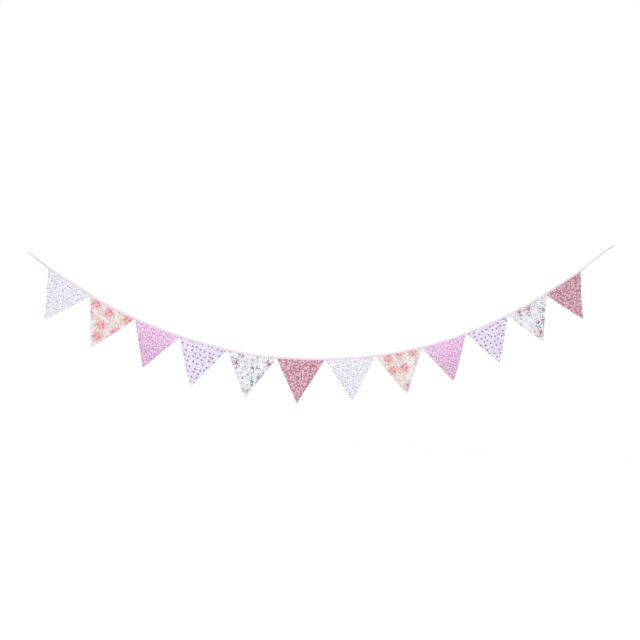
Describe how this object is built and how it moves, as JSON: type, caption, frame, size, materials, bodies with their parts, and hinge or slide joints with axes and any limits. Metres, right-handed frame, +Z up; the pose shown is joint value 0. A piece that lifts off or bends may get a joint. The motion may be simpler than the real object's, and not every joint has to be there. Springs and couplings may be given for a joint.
{
  "type": "fabric bunting",
  "caption": "String of double triangular floral cotton flags sewn into a folded cotton tape that hangs in a long shallow curve between its two tie ends.",
  "frame": {"origin": "the middle of the free end of the left tie", "axes": "+X along the span to the right tie, +Y away from the viewer, +Z up"},
  "size_m": [2.3691, 0.0225, 0.6427],
  "materials": {
    "tape": "pale pink cotton bias tape",
    "marks_cotton": "printed cotton, small slate marks on pale lavender",
    "roses_cotton": "printed cotton, coral and pink roses on cream",
    "ditsy_cotton": "printed cotton, dense small dots on orchid pink",
    "dots_cotton": "printed cotton, violet dot flowers on pale lavender",
    "sprigs_cotton": "printed cotton, sparse crimson roses and green leaves on white",
    "meadow_cotton": "printed cotton, dense cream flowers on mauve"
  },
  "bodies": {
    "root": {"tape": "tape", "flag_01": "marks_cotton", "flag_02": "roses_cotton", "flag_03": "ditsy_cotton", "flag_04": "dots_cotton", "flag_05": "sprigs_cotton", "flag_06": "meadow_cotton", "flag_07": "marks_cotton", "flag_08": "roses_cotton", "flag_09": "ditsy_cotton", "flag_10": "dots_cotton", "flag_11": "sprigs_cotton", "flag_12": "meadow_cotton"}
  },
  "joints": []
}
